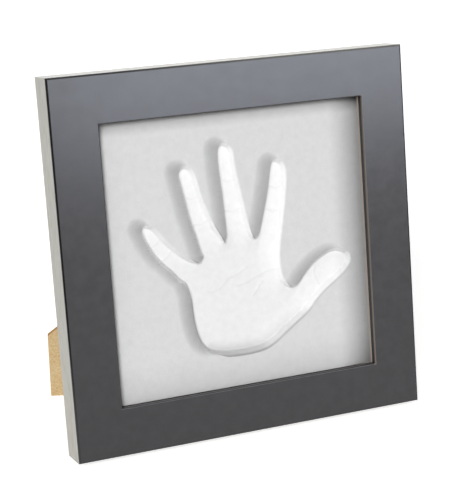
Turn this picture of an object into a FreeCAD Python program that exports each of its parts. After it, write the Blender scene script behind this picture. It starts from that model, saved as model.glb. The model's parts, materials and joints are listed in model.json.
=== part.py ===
import FreeCAD, Part
import math
import os
import re

import Sketcher
from FreeCAD import Placement, Rotation, Vector

# Square tabletop frame that holds a clay panel with the print of a baby's hand.
# Four mitred rails, a clay panel behind their lip, a backing board held by turn buttons,
# and a diagonal easel leg that stands the frame on its bottom or on its left side.
# Lengths are millimetres. Every other number here is an angle in degrees, a count or a share.

DRIVING = {
    # rails
    "frame_size": 228.6,
    "face_width": 29.5,
    "frame_depth": 21.5,
    "lip_depth": 6.0,
    "rebate_width": 6.0,
    "outer_round": 1.2,
    "window_round": 0.8,
    # how the frame stands
    "lean_angle": 10.2,
    "leg_angle": 26.2,
    # clay panel
    "panel_gap": 0.5,
    "window_gap": 0.3,
    "clay_setback": 3.0,
    "clay_edge_setback": 5.0,
    "clay_edge_roll": 12.0,
    # hand print
    "hand_length": 132.0,
    "palm_depth": 6.0,
    "finger_rise": 1.5,
    # backing board
    "board_thickness": 2.5,
    "board_corner_round": 2.0,
    # turn buttons and their screws
    "button_thickness": 1.2,
    "button_gap": 0.1,
    "button_eye_radius": 5.0,
    "button_tip_radius": 3.0,
    "button_reach": 14.0,
    "button_overlap": 8.0,
    "button_spread": 55.0,
    "button_bevel": 0.3,
    "button_bore_gap": 0.06,
    "screw_shank_radius": 1.4,
    "screw_length": 11.0,
    "screw_head_radius": 2.9,
    "screw_head_height": 1.7,
    "wood_gap": 0.05,
    # corner nails, V shaped, driven flush into the back of each mitre
    "vnail_leg": 5.0,
    "vnail_thickness": 0.5,
    "vnail_height": 9.0,
    "vnail_inset": 6.0,
    "vnail_pitch": 9.0,
    # easel leg
    "leg_thickness": 3.0,
    "leg_gap": 0.3,
    "leg_top_width": 40.0,
    "leg_top_gap": 0.8,
    "leg_top_round": 5.0,
    "foot_cut": 45.7,
    # easel hinge
    "hinge_offset": 22.0,
    "leaf_thickness": 0.8,
    "pin_radius": 1.2,
    "pin_bore_gap": 0.05,
    "pin_head_radius": 1.9,
    "pin_head_height": 0.9,
    "fixed_knuckle": 5.0,
    "moving_knuckle": 5.0,
    "knuckle_gap": 0.3,
    "tongue_width": 8.0,
    "tongue_side_gap": 0.6,
    "stop_gap": 0.05,
    "fixed_leaf_length": 19.0,
    "moving_leaf_length": 27.0,
    "leaf_corner_round": 2.5,
    # rivets
    "rivet_radius": 1.3,
    "rivet_head_radius": 2.7,
    "rivet_head_height": 0.9,
    "rivet_flare_radius": 2.0,
    "rivet_flare_height": 0.8,
    "rivet_spread": 9.0,
    "rivet_edge": 7.0,
    # sawtooth hangers and their nails
    "hanger_length": 45.0,
    "hanger_height": 9.0,
    "hanger_thickness": 0.8,
    "hanger_rise": 1.6,
    "hanger_tab": 8.0,
    "hanger_ramp": 2.5,
    "hanger_tooth_depth": 2.0,
    "hanger_nail_edge": 4.0,
    "nail_radius": 0.8,
    "nail_length": 10.0,
    "nail_head_radius": 2.2,
    "nail_head_height": 0.7,
    # how far a cutting shape runs past the material
    "cut_overrun": 2.0,
}

hanger_teeth = 9
vnails_per_mitre = 2
# How much narrower the top of a rivet's head is than its foot.
rivet_crown_share = 0.55

# Shares of the hand's length: the place of the print, its palm and its five fingers.
# The print is seen from the front; its middle lies at the panel's middle.
palm_arc_shares = [
    ((-0.318, -0.061), (-0.290, -0.205), (-0.258, -0.375)),
    ((-0.258, -0.375), (-0.205, -0.468), (-0.106, -0.505)),
    ((-0.106, -0.505), (0.030, -0.511), (0.152, -0.462)),
    ((0.152, -0.462), (0.250, -0.386), (0.333, -0.311)),
    ((0.333, -0.311), (0.318, -0.227), (0.250, -0.167)),
    ((0.250, -0.167), (0.216, -0.061), (0.182, 0.015)),
    ((0.182, 0.015), (0.015, 0.045), (-0.167, 0.015)),
    ((-0.167, 0.015), (-0.250, -0.015), (-0.318, -0.061)),
]
palm_middle_share = (-0.030, -0.240)
# Each level of the palm: its size beside the rim's, and its share of the depth.
palm_level_shares = [(1.03, 0.0), (0.985, 0.15), (0.93, 0.65), (0.85, 1.0)]
# Each finger: where it leaves the palm, where its tip ends, and its radius there and at the tip.
finger_shares = {
    "little": ((-0.262, -0.085), (-0.480, 0.160), 0.054, 0.043),
    "ring": ((-0.176, -0.030), (-0.250, 0.405), 0.056, 0.045),
    "middle": ((-0.021, -0.020), (-0.057, 0.485), 0.056, 0.046),
    "index": ((0.130, -0.035), (0.205, 0.394), 0.056, 0.045),
    "thumb": ((0.205, -0.316), (0.549, -0.106), 0.056, 0.053),
}
# Along a finger: the two creases, and how much slimmer the finger is there.
crease_place_shares = (0.38, 0.66)
crease_waist_share = 0.93

doc = FreeCAD.newDocument("HandprintFrame")
sheet = doc.addObject("Spreadsheet::Sheet", "Sizes")


def put_in_sheet(values):
    """Write named numbers into the next free rows, each with its name as alias."""
    for name, value in values.items():
        row = len(sheet_names) + 1
        sheet.set("A%d" % row, name)
        sheet.set("B%d" % row, repr(float(value)))
        sheet.setAlias("B%d" % row, name)
        sheet_names.append(name)
    doc.recompute()


sheet_names = []
put_in_sheet(DRIVING)


def size(name):
    """The value of one named cell."""
    return float(getattr(sheet, name))


def derived_sizes():
    """Sizes that follow from the driving ones."""
    lean = math.radians(size("lean_angle"))
    opening = math.radians(size("leg_angle"))
    half = size("frame_size") / 2
    knuckle = (size("leg_gap") + size("leg_thickness") + size("leaf_thickness")) / 2
    pin_to_leg = knuckle - size("leg_gap")
    # The leg's tip meets the table: its height over the frame's bottom edge, measured up the
    # leaning face, equals its distance behind the frame times the tangent of the lean.
    rise = half + size("hinge_offset") - pin_to_leg * math.sin(opening) / math.sqrt(2)
    rise -= (knuckle - pin_to_leg * math.cos(opening)) * math.tan(lean)
    reach = rise / (math.cos(opening) / math.sqrt(2) + math.sin(opening) * math.tan(lean))
    foot_half_angle = math.atan(math.cos(opening) + math.sqrt(2) * math.sin(opening) * math.tan(lean))
    tip_back = knuckle + reach * math.sin(opening) - pin_to_leg * math.cos(opening)
    tip_up = tip_back * math.tan(lean)
    # How far the leg's thickness reaches back, seen level.
    board_turn = math.cos(opening) * math.cos(lean) + math.sin(opening) * math.sin(lean) / math.sqrt(2)
    rearmost = tip_back * math.cos(lean) + tip_up * math.sin(lean) + size("leg_thickness") * board_turn
    foremost = -size("frame_depth") * math.cos(lean)
    # The stop tongue's lower face clears the pin by the bore's gap and lands on the fixed leaf.
    tongue_floor = size("pin_radius") + size("pin_bore_gap")
    leaf_top = knuckle - size("leaf_thickness") - size("stop_gap")
    tongue_reach = (leaf_top + tongue_floor * math.cos(opening)) / math.sin(opening)
    back_width = size("face_width") - size("rebate_width")
    return {
        "half_size": half,
        "panel_side": size("frame_size") - 2 * back_width - 2 * size("panel_gap"),
        "clay_window_side": size("frame_size") - 2 * size("face_width") - 2 * size("window_gap"),
        "lip_back": size("frame_depth") - size("lip_depth"),
        "clay_top": size("frame_depth") - size("clay_setback"),
        "clay_edge_top": size("frame_depth") - size("clay_edge_setback"),
        "knuckle_radius": knuckle,
        "bore_radius": size("pin_radius") + size("pin_bore_gap"),
        "pin_to_leg": pin_to_leg,
        "leg_reach": reach,
        "foot_half_width": size("foot_cut") * math.sin(foot_half_angle),
        "foot_shoulder": reach - size("foot_cut") * math.cos(foot_half_angle),
        "leg_top": knuckle + size("leg_top_gap"),
        "depth_shift": -(foremost + rearmost) / 2,
        "tongue_reach": tongue_reach,
        "button_place": half - back_width + size("button_reach") - size("button_overlap"),
        "button_arm": size("button_reach") - size("button_tip_radius"),
        "button_bore": size("screw_shank_radius") + size("button_bore_gap"),
        "screw_hole_radius": size("screw_shank_radius") + size("wood_gap"),
        "screw_seat": size("button_thickness") + 2 * size("button_gap"),
        "hanger_place": half - back_width / 2,
        "rivet_hole_radius": size("rivet_radius") + size("wood_gap"),
        "rivet_flare_hole": size("rivet_flare_radius") + size("wood_gap"),
        "nail_hole_radius": size("nail_radius") + size("wood_gap"),
        "nail_eye": size("hanger_length") / 2 - size("hanger_nail_edge"),
    }


put_in_sheet(derived_sizes())

# Places. The panel frame has X to the right, Y up the leaning face and Z out of its front,
# with its origin in the middle of the frame's back plane.
lean = math.radians(size("lean_angle"))
panel = Placement(
    Vector(0, size("half_size") * math.sin(lean) + size("depth_shift"), size("half_size") * math.cos(lean)),
    Rotation(Vector(1, 0, 0), 90 - size("lean_angle")),
)


def turned(quarter_turns):
    """The panel frame turned in its own plane, seen from the front."""
    return panel.multiply(Placement(Vector(0, 0, 0), Rotation(Vector(0, 0, 1), 90 * quarter_turns)))


# On the back: Z points out of the back, Y towards the bottom edge.
face_back = Placement(Vector(0, 0, 0), Rotation(Vector(1, 0, 0), 180))


def on_back(quarter_turns, along, up):
    """A place on the back plane of the side that the quarter turns bring to the bottom."""
    return turned(quarter_turns).multiply(Placement(Vector(along, up, 0), Rotation())).multiply(face_back)


# The hinge line crosses the diagonal, so that the leg reaches the lower corner both ways.
diagonal = 1 / math.sqrt(2)
along_pin, down_leg = Vector(diagonal, -diagonal, 0), Vector(-diagonal, -diagonal, 0)
hinge_turn = Rotation(along_pin, down_leg, Vector(0, 0, -1), "ZXY")
hinge = panel.multiply(Placement(Vector(size("hinge_offset"), size("hinge_offset"), 0), hinge_turn))
open_leg = hinge.multiply(
    Placement(Vector(0, 0, size("knuckle_radius")), Rotation(Vector(1, 0, 0), size("leg_angle")))
)


# Building helpers

def new_body(label, placement):
    """An empty body for one piece, in its place on the frame."""
    body = doc.addObject("PartDesign::Body", label)
    body.Label = label
    body.AllowCompound = True
    body.Placement = placement
    return body


def new_sketch(body, name, role="XY_Plane", offset=None):
    """A sketch on one of the body's own origin planes."""
    sketch = body.newObject("Sketcher::SketchObject", name)
    plane = [feature for feature in body.Origin.OriginFeatures if feature.Role == role][0]
    sketch.AttachmentSupport = [(plane, "")]
    sketch.MapMode = "FlatFace"
    if offset is not None:
        sketch.AttachmentOffset = offset
    return sketch


def bind(target, path, expression):
    """Bind a property to an expression of the sheet's names."""
    target.setExpression(path, re.sub(r"\b([a-z]+_[a-z_]+)\b", r"Sizes.\1", expression))


def lift(sketch, expression):
    """Raise a sketch along its normal to a height given by an expression."""
    bind(sketch, "AttachmentOffset.Base.z", expression)


def tie(sketch, kind, first, second, expression):
    """A signed distance from one point to another, bound to an expression."""
    value = measured(expression)
    index = sketch.addConstraint(Sketcher.Constraint(kind, first[0], first[1], second[0], second[1], value))
    bind(sketch, "Constraints[%d]" % index, expression)


def measured(expression):
    """The present value of an expression of sheet names."""
    return float(sheet.evalExpression(expression))


def polygon(sketch, corners):
    """A closed outline of straight lines whose corners are pairs of expressions."""
    points = [Vector(measured(across), measured(up), 0) for across, up in corners]
    lines = []
    for start, end in zip(points, points[1:] + points[:1]):
        lines.append(sketch.addGeometry(Part.LineSegment(start, end), False))
    for line, following in zip(lines, lines[1:] + lines[:1]):
        sketch.addConstraint(Sketcher.Constraint("Coincident", line, 2, following, 1))
    for line, (across, up) in zip(lines, corners):
        tie(sketch, "DistanceX", (-1, 1), (line, 1), across)
        tie(sketch, "DistanceY", (-1, 1), (line, 1), up)
    return lines


def rectangle(sketch, left, right, low, high):
    """A rectangle between four expressions."""
    return polygon(sketch, [(left, low), (right, low), (right, high), (left, high)])


def freeform(sketch, parts):
    """A closed outline of lines and arcs that follow each other, fixed where they are drawn."""
    made = [sketch.addGeometry(part, False) for part in parts]
    ends = []
    for geometry, part in zip(made, parts):
        gaps = [sketch.getPoint(geometry, end).distanceToPoint(part.StartPoint) for end in (1, 2)]
        ends.append((1, 2) if gaps[0] < gaps[1] else (2, 1))
    for number, geometry in enumerate(made):
        following = (number + 1) % len(made)
        leaving, entering = ends[number][1], ends[following][0]
        sketch.addConstraint(Sketcher.Constraint("Coincident", geometry, leaving, made[following], entering))
    for geometry in made:
        sketch.addConstraint(Sketcher.Constraint("Block", geometry))


def circle(sketch, across, up, radius):
    """A circle with its middle and radius given by expressions."""
    centre = Vector(measured(across), measured(up), 0)
    ring = sketch.addGeometry(Part.Circle(centre, Vector(0, 0, 1), measured(radius)), False)
    tie(sketch, "DistanceX", (-1, 1), (ring, 3), across)
    tie(sketch, "DistanceY", (-1, 1), (ring, 3), up)
    index = sketch.addConstraint(Sketcher.Constraint("Radius", ring, measured(radius)))
    bind(sketch, "Constraints[%d]" % index, radius)
    return ring


def pad(body, sketch, name, length, midplane=False, reverse=False):
    """Extrude a sketch by an expression."""
    feature = body.newObject("PartDesign::Pad", name)
    feature.Profile = sketch
    feature.Midplane = midplane
    feature.Reversed = reverse
    bind(feature, "Length", length)
    doc.recompute()
    return feature


def pocket(body, sketch, name, depth, midplane=False, reverse=False):
    """Cut a sketch's outline into the body, and check that it removed something."""
    before = body.Shape.Volume
    feature = body.newObject("PartDesign::Pocket", name)
    feature.Profile = sketch
    feature.Midplane = midplane
    feature.Reversed = reverse
    bind(feature, "Length", depth)
    doc.recompute()
    if not body.Shape.Volume < before:
        raise ValueError("%s cut nothing" % name)
    return feature


def edges_where(feature, chosen):
    """Names of a feature's edges for which the given test holds."""
    return ["Edge%d" % (number + 1) for number, edge in enumerate(feature.Shape.Edges) if chosen(edge)]


def rounded(body, feature, name, chosen, radius):
    """Round the chosen edges of a feature by an expression."""
    edges = edges_where(feature, chosen)
    if not edges:
        raise ValueError("%s found no edge" % name)
    fillet = body.newObject("PartDesign::Fillet", name)
    fillet.Base = (feature, edges)
    bind(fillet, "Radius", radius)
    doc.recompute()
    return fillet


def bevelled(body, feature, name, chosen, width):
    """Bevel the chosen edges of a feature by an expression."""
    edges = edges_where(feature, chosen)
    if not edges:
        raise ValueError("%s found no edge" % name)
    chamfer = body.newObject("PartDesign::Chamfer", name)
    chamfer.Base = (feature, edges)
    bind(chamfer, "Size", width)
    doc.recompute()
    return chamfer


def near(value, target):
    """Whether two lengths agree."""
    return abs(value - target) < close


close = size("cut_overrun") / 1000


def straight_up(edge):
    """Whether an edge runs along its body's Z axis."""
    direction = edge.Vertexes[-1].Point - edge.Vertexes[0].Point
    return direction.Length > close and near(abs(direction.z), direction.Length)


# Rails

def make_rail(label, quarter_turns, button_places, has_hanger):
    """One mitred rail, drawn as the bottom one: lip in front, rebate behind it."""
    body = new_body(label, turned(quarter_turns))
    section = new_sketch(body, label + "_section", "YZ_Plane")
    rebate = "face_width - rebate_width - half_size"
    polygon(section, [
        ("-half_size", "0"),
        (rebate, "0"),
        (rebate, "lip_back"),
        ("face_width - half_size", "lip_back"),
        ("face_width - half_size", "frame_depth"),
        ("-half_size", "frame_depth"),
    ])
    bar = pad(body, section, label + "_bar", "frame_size", midplane=True)

    def at_front(edge):
        return all(near(point.Point.z, size("frame_depth")) for point in edge.Vertexes)

    def outer_arris(edge):
        return at_front(edge) and near(edge.CenterOfMass.y, -size("half_size"))

    def window_arris(edge):
        return at_front(edge) and near(edge.CenterOfMass.y, size("face_width") - size("half_size"))

    eased = rounded(body, bar, label + "_outer_round", outer_arris, "outer_round")
    rounded(body, eased, label + "_window_round", window_arris, "window_round")
    mitres = new_sketch(body, label + "_mitre_lines")
    for side in ("", "-"):
        polygon(mitres, [
            (side + "(half_size + cut_overrun)", "-half_size - cut_overrun"),
            (side + "(half_size - face_width - cut_overrun)", "face_width + cut_overrun - half_size"),
            (side + "(half_size + cut_overrun)", "face_width + cut_overrun - half_size"),
        ])
    pocket(body, mitres, label + "_mitres", "2 * frame_depth + 2 * cut_overrun", midplane=True)
    slots = new_sketch(body, label + "_nail_slot_lines")
    for side in ("", "-"):
        for step in range(vnails_per_mitre):
            inset = "(vnail_inset + %d * vnail_pitch)" % step
            middle = "%s - half_size" % inset
            rectangle(
                slots,
                side + "(half_size - %s - vnail_leg - wood_gap)" % inset,
                side + "(half_size - %s + vnail_thickness)" % inset,
                middle + " - vnail_thickness / 2 - wood_gap",
                middle + " + vnail_thickness / 2 + wood_gap",
            )
    pocket(body, slots, label + "_nail_slots", "vnail_height + wood_gap", reverse=True)
    holes = new_sketch(body, label + "_screw_hole_lines")
    for place in button_places:
        circle(holes, place, "-button_place", "screw_hole_radius")
    pocket(body, holes, label + "_screw_holes", "screw_length + wood_gap", reverse=True)
    if has_hanger:
        eyes = new_sketch(body, label + "_hanger_hole_lines")
        for side in ("", "-"):
            circle(eyes, side + "nail_eye", "-hanger_place", "nail_hole_radius")
        pocket(body, eyes, label + "_hanger_holes", "nail_length + wood_gap", reverse=True)
    return body


one_button = ["0"]
two_buttons = ["-button_spread", "button_spread"]
rail_plan = {
    "rail_bottom": (0, one_button, False),
    "rail_right": (1, two_buttons, True),
    "rail_top": (2, two_buttons, True),
    "rail_left": (3, one_button, False),
}


def make_corner_nails():
    """Two V nails across each mitre, flush with the back."""
    label = "corner_v_nails"
    body = new_body(label, panel)
    outline = new_sketch(body, label + "_outline")
    for step in range(vnails_per_mitre):
        apex = "(half_size - vnail_inset - %d * vnail_pitch)" % step
        outer = apex + " + vnail_thickness / 2"
        inner = apex + " - vnail_thickness / 2"
        end = apex + " - vnail_leg"
        for across in ("", "-"):
            for up in ("", "-"):
                corners = [
                    (outer, outer), (outer, end), (inner, end),
                    (inner, inner), (end, inner), (end, outer),
                ]
                polygon(outline, [("%s(%s)" % (across, x), "%s(%s)" % (up, y)) for x, y in corners])
    pad(body, outline, label + "_strips", "vnail_height")
    return body


# Clay panel

def palm_outline(sketch, scale_share):
    """The palm's outline, drawn in towards its middle by a share."""
    middle = Vector(palm_middle_share[0], palm_middle_share[1], 0)
    arcs = []
    for arc in palm_arc_shares:
        points = [middle + (Vector(across, up, 0) - middle) * scale_share for across, up in arc]
        arcs.append(Part.Arc(*[point * size("hand_length") for point in points]))
    freeform(sketch, arcs)


def finger_outline(sketch, length, base_radius, tip_radius):
    """Half of a finger's length section: three tapers with a crease between each, and a round tip."""
    tip_start = length - tip_radius
    profile = [Vector(0, base_radius, 0)]
    for place_share in crease_place_shares:
        full_radius = base_radius + (tip_radius - base_radius) * place_share
        profile.append(Vector(place_share * length, full_radius * crease_waist_share, 0))
    profile.append(Vector(tip_start, tip_radius, 0))
    edges = [Part.LineSegment(first, second) for first, second in zip(profile, profile[1:])]
    tip, root, slant = Vector(length, 0, 0), Vector(0, 0, 0), tip_radius / math.sqrt(2)
    edges.append(Part.Arc(profile[-1], Vector(tip_start + slant, slant, 0), tip))
    edges.append(Part.LineSegment(tip, root))
    edges.append(Part.LineSegment(root, profile[0]))
    freeform(sketch, edges)


def make_clay_panel():
    """The slab behind the lip, its crown in the window, and the hand pressed into it."""
    label = "clay_panel"
    body = new_body(label, panel)
    slab = new_sketch(body, label + "_slab_lines")
    lift(slab, "board_thickness")
    rectangle(slab, "-panel_side / 2", "panel_side / 2", "-panel_side / 2", "panel_side / 2")
    pad(body, slab, label + "_slab", "lip_back - board_thickness")
    step = new_sketch(body, label + "_window_lines")
    lift(step, "lip_back")
    half = "clay_window_side / 2"
    rectangle(step, "-" + half, half, "-" + half, half)
    pad(body, step, label + "_window_step", "clay_edge_top - lip_back")
    crown = body.newObject("PartDesign::AdditiveLoft", label + "_crown")
    low = new_sketch(body, label + "_crown_foot")
    lift(low, "clay_edge_top")
    rectangle(low, "-" + half, half, "-" + half, half)
    high = new_sketch(body, label + "_crown_top")
    lift(high, "clay_top")
    inner = "(clay_window_side / 2 - clay_edge_roll)"
    rectangle(high, "-" + inner, inner, "-" + inner, inner)
    crown.Profile = low
    crown.Sections = [high]
    crown.Ruled = True
    doc.recompute()
    before = body.Shape.Volume
    palm = body.newObject("PartDesign::SubtractiveLoft", label + "_palm")
    levels = []
    for number, (scale_share, depth_share) in enumerate(palm_level_shares):
        level = new_sketch(body, "%s_palm_level_%d" % (label, number + 1))
        lift(level, "clay_top - palm_depth * %s" % depth_share)
        palm_outline(level, scale_share)
        levels.append(level)
    palm.Profile = levels[0]
    palm.Sections = levels[1:]
    palm.Ruled = True
    doc.recompute()
    for name, (base, tip, base_share, tip_share) in finger_shares.items():
        span = Vector(tip[0] - base[0], tip[1] - base[1], 0) * size("hand_length")
        place = Vector(base[0], base[1], 0) * size("hand_length")
        heading = math.degrees(math.atan2(span.y, span.x))
        lines = new_sketch(body, "%s_%s_lines" % (label, name))
        lines.AttachmentOffset = Placement(
            Vector(place.x, place.y, size("clay_top") + size("finger_rise")),
            Rotation(Vector(0, 0, 1), heading),
        )
        finger_outline(
            lines, span.Length, base_share * size("hand_length"), tip_share * size("hand_length")
        )
        groove = body.newObject("PartDesign::Groove", "%s_%s" % (label, name))
        groove.Profile = lines
        groove.ReferenceAxis = (lines, ["H_Axis"])
        groove.Angle = 360
        doc.recompute()
        if not body.Shape.Volume < before:
            raise ValueError("%s cut nothing" % groove.Label)
        before = body.Shape.Volume
    return body


# Backing board and turn buttons

def make_backing_board():
    """The board in the rebate, flush with the rails' backs, drilled for the hinge's rivets."""
    label = "backing_board"
    body = new_body(label, panel)
    lines = new_sketch(body, label + "_lines")
    half = "panel_side / 2"
    rectangle(lines, "-" + half, half, "-" + half, half)
    sheet_pad = pad(body, lines, label + "_sheet", "board_thickness")
    rounded(body, sheet_pad, label + "_corners", straight_up, "board_corner_round")
    holes = new_sketch(body, label + "_rivet_hole_lines")
    flares = new_sketch(body, label + "_rivet_flare_lines")
    for side in (-1, 1):
        middle = rivet_place_on_board(side)
        circle(holes, middle[0], middle[1], "rivet_hole_radius")
        circle(flares, middle[0], middle[1], "rivet_flare_hole")
    pocket(body, holes, label + "_rivet_holes", "board_thickness + cut_overrun", reverse=True)
    lift(flares, "board_thickness")
    pocket(body, flares, label + "_rivet_flares", "rivet_flare_height + wood_gap")
    return body


def rivet_place_on_board(side):
    """Where a rivet of the fixed leaf passes through the board, in the panel frame."""
    along = "(fixed_leaf_length - rivet_edge + %d * rivet_spread) / sqrt(2)" % side
    across = "(fixed_leaf_length - rivet_edge - %d * rivet_spread) / sqrt(2)" % side
    return "hinge_offset + " + along, "hinge_offset + " + across


def button_outline(sketch):
    """A teardrop: a round eye about the screw and a smaller round tip, joined by tangents."""
    eye, tip, arm = size("button_eye_radius"), size("button_tip_radius"), size("button_arm")
    slant = math.asin((eye - tip) / arm)
    sine, cosine = math.sin(slant), math.cos(slant)
    right_eye = Vector(eye * cosine, eye * sine, 0)
    left_eye = Vector(-eye * cosine, eye * sine, 0)
    right_tip = Vector(tip * cosine, arm + tip * sine, 0)
    left_tip = Vector(-tip * cosine, arm + tip * sine, 0)
    freeform(sketch, [
        Part.LineSegment(right_eye, right_tip),
        Part.Arc(right_tip, Vector(0, arm + tip, 0), left_tip),
        Part.LineSegment(left_tip, left_eye),
        Part.Arc(left_eye, Vector(0, -eye, 0), right_eye),
    ])
    circle(sketch, "0", "0", "button_bore")


def make_turn_button(label, quarter_turns, along):
    """A flat steel turn button that holds the backing board in its rebate."""
    place = on_back(quarter_turns, along, -size("button_place"))
    up_to_middle = Placement(Vector(0, 0, size("button_gap")), Rotation(Vector(0, 0, 1), 180))
    body = new_body(label, place.multiply(up_to_middle))
    lines = new_sketch(body, label + "_lines")
    button_outline(lines)
    plate = pad(body, lines, label + "_plate", "button_thickness")
    top = size("button_thickness")

    def rim(edge):
        at_top = all(near(point.Point.z, top) for point in edge.Vertexes)
        return at_top and not near(edge.CenterOfMass.distanceToPoint(Vector(0, 0, top)), 0)

    bevelled(body, plate, label + "_rim", rim, "button_bevel")
    return body


button_plan = {
    "turn_button_bottom": (0, 0),
    "turn_button_right_lower": (1, -1),
    "turn_button_right_upper": (1, 1),
    "turn_button_top_right": (2, -1),
    "turn_button_top_left": (2, 1),
    "turn_button_left": (3, 0),
}


def turned_profile(label, places, outline):
    """A group of alike turned pieces, each a section turned about its own axis."""
    body = new_body(label, places[0])
    lines = new_sketch(body, label + "_section", "XZ_Plane")
    polygon(lines, outline)
    turning = body.newObject("PartDesign::Revolution", label + "_turning")
    turning.Profile = lines
    turning.ReferenceAxis = (lines, ["V_Axis"])
    turning.Angle = 360
    doc.recompute()
    return body


def group_of(label, pattern, places):
    """Copies of one turned piece at several places, as one node of separate solids."""
    first = pattern.Placement
    copies = []
    for place in places:
        copy = pattern.Shape.copy()
        copy.Placement = place.multiply(first.inverse()).multiply(copy.Placement)
        copies.append(copy)
    group = doc.addObject("Part::Feature", label)
    group.Label = label
    group.Shape = Part.Compound(copies)
    return group


def make_screws():
    """The screws that the turn buttons turn on, each a plain shank with a raised head."""
    places = [
        on_back(quarter_turns, side * size("button_spread"), -size("button_place"))
        for quarter_turns, side in button_plan.values()
    ]
    pattern = turned_profile("screw_pattern", places, [
        ("0", "-screw_length"),
        ("screw_shank_radius", "-screw_length"),
        ("screw_shank_radius", "screw_seat"),
        ("screw_head_radius", "screw_seat"),
        ("screw_head_radius", "screw_seat + screw_head_height"),
        ("0", "screw_seat + screw_head_height"),
    ])
    return group_of("turn_button_screws", pattern, places)


# Sawtooth hangers

def make_hanger(label, quarter_turns):
    """A sawtooth hanger: two flat tabs, a raised middle, and teeth along its lower edge."""
    place = on_back(quarter_turns, 0, -size("hanger_place"))
    body = new_body(label, place)
    strip = new_sketch(body, label + "_strip_lines", "XZ_Plane")
    far, tab = "hanger_length / 2", "(hanger_length / 2 - hanger_tab)"
    bend = "(hanger_length / 2 - hanger_tab - hanger_ramp)"
    floor, top = "0", "hanger_thickness"
    polygon(strip, [
        ("-" + far, floor), ("-" + tab, floor), ("-" + bend, "hanger_rise"), (bend, "hanger_rise"),
        (tab, floor), (far, floor), (far, top), (tab, top),
        (bend, "hanger_rise + hanger_thickness"), ("-" + bend, "hanger_rise + hanger_thickness"),
        ("-" + tab, top), ("-" + far, top),
    ])
    plate = pad(body, strip, label + "_strip", "hanger_height", midplane=True)
    rounded(body, plate, label + "_corners", end_corner, "hanger_nail_edge / 2")
    teeth = new_sketch(body, label + "_tooth_lines")
    for number in range(hanger_teeth):
        left = "(2 * %d / %d - 1) * %s" % (number, hanger_teeth, bend)
        right = "(2 * %d / %d - 1) * %s" % (number + 1, hanger_teeth, bend)
        notch = "(%s + %s) / 2" % (left, right)
        polygon(teeth, [
            (left, "-hanger_height / 2 - cut_overrun"),
            (right, "-hanger_height / 2 - cut_overrun"),
            (notch, "hanger_tooth_depth - hanger_height / 2"),
        ])
    depth = "2 * (hanger_rise + hanger_thickness + cut_overrun)"
    pocket(body, teeth, label + "_teeth", depth, midplane=True)
    eyes = new_sketch(body, label + "_eye_lines")
    for side in ("", "-"):
        circle(eyes, side + "nail_eye", "0", "nail_hole_radius")
    pocket(body, eyes, label + "_eyes", depth, midplane=True)
    return body


def end_corner(edge):
    """Whether an edge is one of a hanger's four outer corners."""
    return straight_up(edge) and near(abs(edge.Vertexes[0].Point.x), size("hanger_length") / 2)


hanger_plan = {"sawtooth_hanger_top": 2, "sawtooth_hanger_side": 1}


def make_hanger_nails():
    """Flat headed nails through the hangers' tabs, each with a plain shank."""
    places = [
        on_back(quarter_turns, side * size("nail_eye"), -size("hanger_place"))
        for quarter_turns in hanger_plan.values() for side in (-1, 1)
    ]
    pattern = turned_profile("nail_pattern", places, [
        ("0", "-nail_length"),
        ("nail_radius", "-nail_length"),
        ("nail_radius", "hanger_thickness"),
        ("nail_head_radius", "hanger_thickness"),
        ("nail_head_radius", "hanger_thickness + nail_head_height"),
        ("0", "hanger_thickness + nail_head_height"),
    ])
    return group_of("hanger_nails", pattern, places)


# Easel hinge. Its frame has X along the pin, Y down the folded leg and Z out of the back.

outer_knuckle = "(tongue_width / 2 + tongue_side_gap + moving_knuckle + knuckle_gap + fixed_knuckle)"
outer_knuckle_start = "(tongue_width / 2 + tongue_side_gap + moving_knuckle + knuckle_gap)"
inner_knuckle = "(tongue_width / 2 + tongue_side_gap + moving_knuckle)"
inner_knuckle_start = "(tongue_width / 2 + tongue_side_gap)"


def make_fixed_leaf():
    """The leaf riveted to the board, with a rolled knuckle at each end of the pin."""
    label = "hinge_fixed_leaf"
    body = new_body(label, hinge)
    flat = new_sketch(body, label + "_plate_lines")
    rectangle(flat, "-" + outer_knuckle, outer_knuckle, "-fixed_leaf_length", "0")
    plate = pad(body, flat, label + "_plate", "leaf_thickness")

    def far_corner(edge):
        return straight_up(edge) and near(edge.Vertexes[0].Point.y, -size("fixed_leaf_length"))

    rounded(body, plate, label + "_corners", far_corner, "leaf_corner_round")
    barrel = new_sketch(body, label + "_barrel_lines", "YZ_Plane")
    circle(barrel, "0", "knuckle_radius", "knuckle_radius")
    pad(body, barrel, label + "_barrel", "2 * " + outer_knuckle, midplane=True)
    bore = new_sketch(body, label + "_bore_lines", "YZ_Plane")
    circle(bore, "0", "knuckle_radius", "bore_radius")
    pocket(body, bore, label + "_bore", "2 * %s + 2 * cut_overrun" % outer_knuckle, midplane=True)
    notch = new_sketch(body, label + "_notch_lines")
    start = outer_knuckle_start
    low = "-(knuckle_radius + knuckle_gap)"
    rectangle(notch, "-" + start, start, low, "knuckle_radius + cut_overrun")
    pocket(body, notch, label + "_notch", "2 * (2 * knuckle_radius + cut_overrun)", midplane=True)
    holes = new_sketch(body, label + "_rivet_hole_lines")
    for side in ("", "-"):
        circle(holes, side + "rivet_spread", "rivet_edge - fixed_leaf_length", "rivet_hole_radius")
    pocket(body, holes, label + "_rivet_holes", "2 * (leaf_thickness + cut_overrun)", midplane=True)
    return body


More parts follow.
